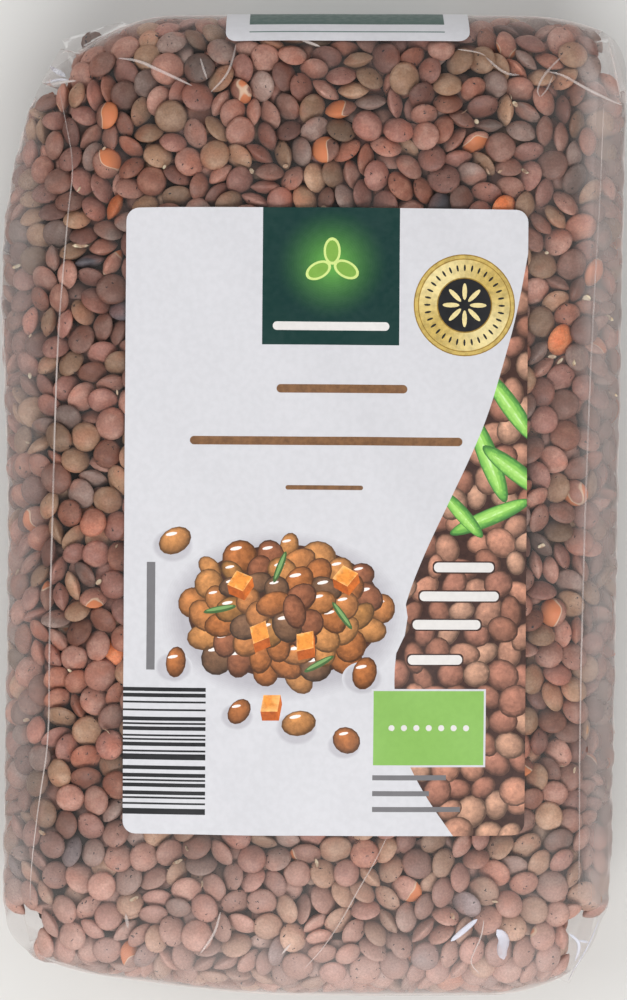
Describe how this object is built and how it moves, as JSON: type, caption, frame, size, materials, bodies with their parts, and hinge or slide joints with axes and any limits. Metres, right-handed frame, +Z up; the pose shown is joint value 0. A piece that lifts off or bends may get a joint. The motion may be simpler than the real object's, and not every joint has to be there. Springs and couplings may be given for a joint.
{
  "type": "sealed clear bag of dry lentils",
  "caption": "Clear sealed side-gusset bag full of small dry brown lentils, with a paper front label and a closing label over one end, lying on its back.",
  "frame": {"origin": "middle of the footprint, on the surface that the bag's flat back rests on", "axes": "+X across the bag to the label's right, +Y along it to the label's top, +Z up, out of the label"},
  "size_m": [0.1144, 0.1784, 0.0381],
  "materials": {
    "lentils_in_film": "clear glossy film over matt brown lentils",
    "label_paper": "smooth coated white paper with printed fields",
    "clear_film": "thin clear glossy film",
    "dry_lentils": "matt dry seed coat with fine dark specks"
  },
  "bodies": {
    "root": {"lentil_bag": "lentils_in_film", "front_label": "label_paper", "closing_label": "label_paper"}
  },
  "joints": []
}
